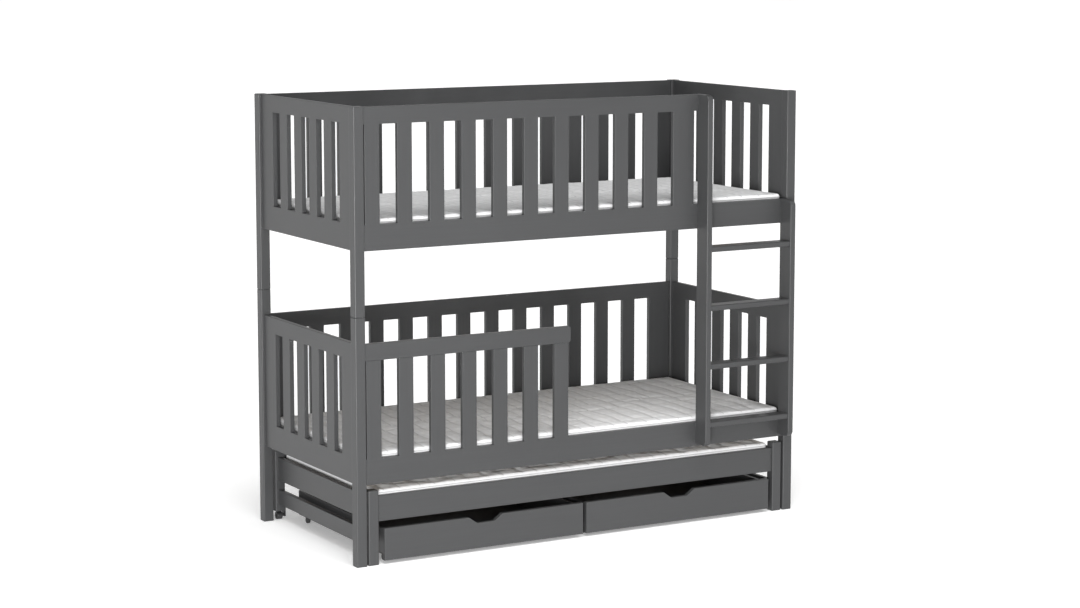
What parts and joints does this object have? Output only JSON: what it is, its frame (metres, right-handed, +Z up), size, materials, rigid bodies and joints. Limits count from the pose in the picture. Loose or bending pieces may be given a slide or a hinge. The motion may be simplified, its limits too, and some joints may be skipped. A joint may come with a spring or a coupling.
{
  "type": "bunk bed with trundle",
  "caption": "Slatted wooden bunk bed with a fixed front ladder, a pull-out trundle bed that stands under the lower bunk, and rolling drawers below it.",
  "frame": {"origin": "on the floor, below the middle of the footprint of the frame with its ladder", "axes": "+X along the bed's length towards the ladder end, +Y from the front to the back, +Z up"},
  "size_m": [1.88, 0.925, 1.6385],
  "materials": {
    "painted_wood": "satin graphite-grey paint on smooth solid wood",
    "bare_wood": "bare planed pine",
    "dowel_wood": "bare fluted beech",
    "box_board": "satin graphite-grey paint on board",
    "hardboard": "smooth hardboard lacquered dark grey",
    "mattress_fabric": "off-white quilted knit",
    "black_steel": "black powder-coated steel",
    "zinc_steel": "zinc-plated steel",
    "wheel_plastic": "black hard plastic"
  },
  "bodies": {
    "frame": {"lower_post_front_left": "painted_wood", "lower_post_front_right": "painted_wood", "lower_post_back_left": "painted_wood", "lower_post_back_right": "painted_wood", "upper_post_front_left": "painted_wood", "upper_post_front_right": "painted_wood", "upper_post_back_left": "painted_wood", "upper_post_back_right": "painted_wood", "post_dowels": "dowel_wood", "rail_dowels": "dowel_wood", "lower_front_rail": "painted_wood", "upper_front_rail": "painted_wood", "lower_guard_rail": "painted_wood", "lower_guard_slats": "painted_wood", "upper_guard_rail": "painted_wood", "upper_guard_slats": "painted_wood", "lower_back_rails": "painted_wood", "lower_back_slats": "painted_wood", "upper_back_rails": "painted_wood", "upper_back_slats": "painted_wood", "left_end_rails": "painted_wood", "left_end_slats": "painted_wood", "right_end_rails": "painted_wood", "right_end_slats": "painted_wood", "ladder_left_stile": "painted_wood", "ladder_right_stile": "painted_wood", "ladder_rungs": "painted_wood", "ladder_bolts": "zinc_steel", "bed_ledges": "bare_wood", "lower_base_slats": "bare_wood", "upper_base_slats": "bare_wood", "lower_mattress": "mattress_fabric", "upper_mattress": "mattress_fabric"},
    "trundle": {"trundle_front_legs": "painted_wood", "trundle_back_legs": "painted_wood", "trundle_rails": "painted_wood", "trundle_end_boards": "painted_wood", "trundle_dowels": "dowel_wood", "trundle_ledges": "bare_wood", "trundle_base_slats": "bare_wood", "trundle_mattress": "mattress_fabric", "trundle_caster_brackets": "black_steel"},
    "trundle_left_wheel": {"trundle_left_wheel": "wheel_plastic"},
    "trundle_right_wheel": {"trundle_right_wheel": "wheel_plastic"},
    "drawer_left": {"drawer_left_front": "painted_wood", "drawer_left_walls": "box_board", "drawer_left_bottom": "hardboard", "drawer_left_forks": "black_steel"},
    "drawer_left_wheel_front_left": {"drawer_left_wheel_front_left": "wheel_plastic"},
    "drawer_left_wheel_front_right": {"drawer_left_wheel_front_right": "wheel_plastic"},
    "drawer_left_wheel_back_left": {"drawer_left_wheel_back_left": "wheel_plastic"},
    "drawer_left_wheel_back_right": {"drawer_left_wheel_back_right": "wheel_plastic"},
    "drawer_right": {"drawer_right_front": "painted_wood", "drawer_right_walls": "box_board", "drawer_right_bottom": "hardboard", "drawer_right_forks": "black_steel"},
    "drawer_right_wheel_front_left": {"drawer_right_wheel_front_left": "wheel_plastic"},
    "drawer_right_wheel_front_right": {"drawer_right_wheel_front_right": "wheel_plastic"},
    "drawer_right_wheel_back_left": {"drawer_right_wheel_back_left": "wheel_plastic"},
    "drawer_right_wheel_back_right": {"drawer_right_wheel_back_right": "wheel_plastic"}
  },
  "joints": [
    {"name": "trundle_roll_out", "type": "slide", "parent": "frame", "child": "trundle", "axis": [0, -1, 0], "range_m": [0, 0.84]},
    {"name": "trundle_left_wheel_spin", "type": "hinge", "parent": "trundle", "child": "trundle_left_wheel", "pos_m": [-0.872, 0.4405, 0.015], "axis": [1, 0, 0], "continuous": true},
    {"name": "trundle_right_wheel_spin", "type": "hinge", "parent": "trundle", "child": "trundle_right_wheel", "pos_m": [0.872, 0.4405, 0.015], "axis": [1, 0, 0], "continuous": true},
    {"name": "drawer_left_pull", "type": "slide", "parent": "frame", "child": "drawer_left", "axis": [0, -1, 0], "range_m": [0, 0.7]},
    {"name": "drawer_left_wheel_front_left_spin", "type": "hinge", "parent": "drawer_left", "child": "drawer_left_wheel_front_left", "pos_m": [-0.804, -0.3365, 0.012], "axis": [1, 0, 0], "continuous": true},
    {"name": "drawer_left_wheel_front_right_spin", "type": "hinge", "parent": "drawer_left", "child": "drawer_left_wheel_front_right", "pos_m": [-0.0345, -0.3365, 0.012], "axis": [1, 0, 0], "continuous": true},
    {"name": "drawer_left_wheel_back_left_spin", "type": "hinge", "parent": "drawer_left", "child": "drawer_left_wheel_back_left", "pos_m": [-0.804, 0.3195, 0.012], "axis": [1, 0, 0], "continuous": true},
    {"name": "drawer_left_wheel_back_right_spin", "type": "hinge", "parent": "drawer_left", "child": "drawer_left_wheel_back_right", "pos_m": [-0.0345, 0.3195, 0.012], "axis": [1, 0, 0], "continuous": true},
    {"name": "drawer_right_pull", "type": "slide", "parent": "frame", "child": "drawer_right", "axis": [0, -1, 0], "range_m": [0, 0.7]},
    {"name": "drawer_right_wheel_front_left_spin", "type": "hinge", "parent": "drawer_right", "child": "drawer_right_wheel_front_left", "pos_m": [0.0345, -0.3365, 0.012], "axis": [1, 0, 0], "continuous": true},
    {"name": "drawer_right_wheel_front_right_spin", "type": "hinge", "parent": "drawer_right", "child": "drawer_right_wheel_front_right", "pos_m": [0.804, -0.3365, 0.012], "axis": [1, 0, 0], "continuous": true},
    {"name": "drawer_right_wheel_back_left_spin", "type": "hinge", "parent": "drawer_right", "child": "drawer_right_wheel_back_left", "pos_m": [0.0345, 0.3195, 0.012], "axis": [1, 0, 0], "continuous": true},
    {"name": "drawer_right_wheel_back_right_spin", "type": "hinge", "parent": "drawer_right", "child": "drawer_right_wheel_back_right", "pos_m": [0.804, 0.3195, 0.012], "axis": [1, 0, 0], "continuous": true}
  ]
}
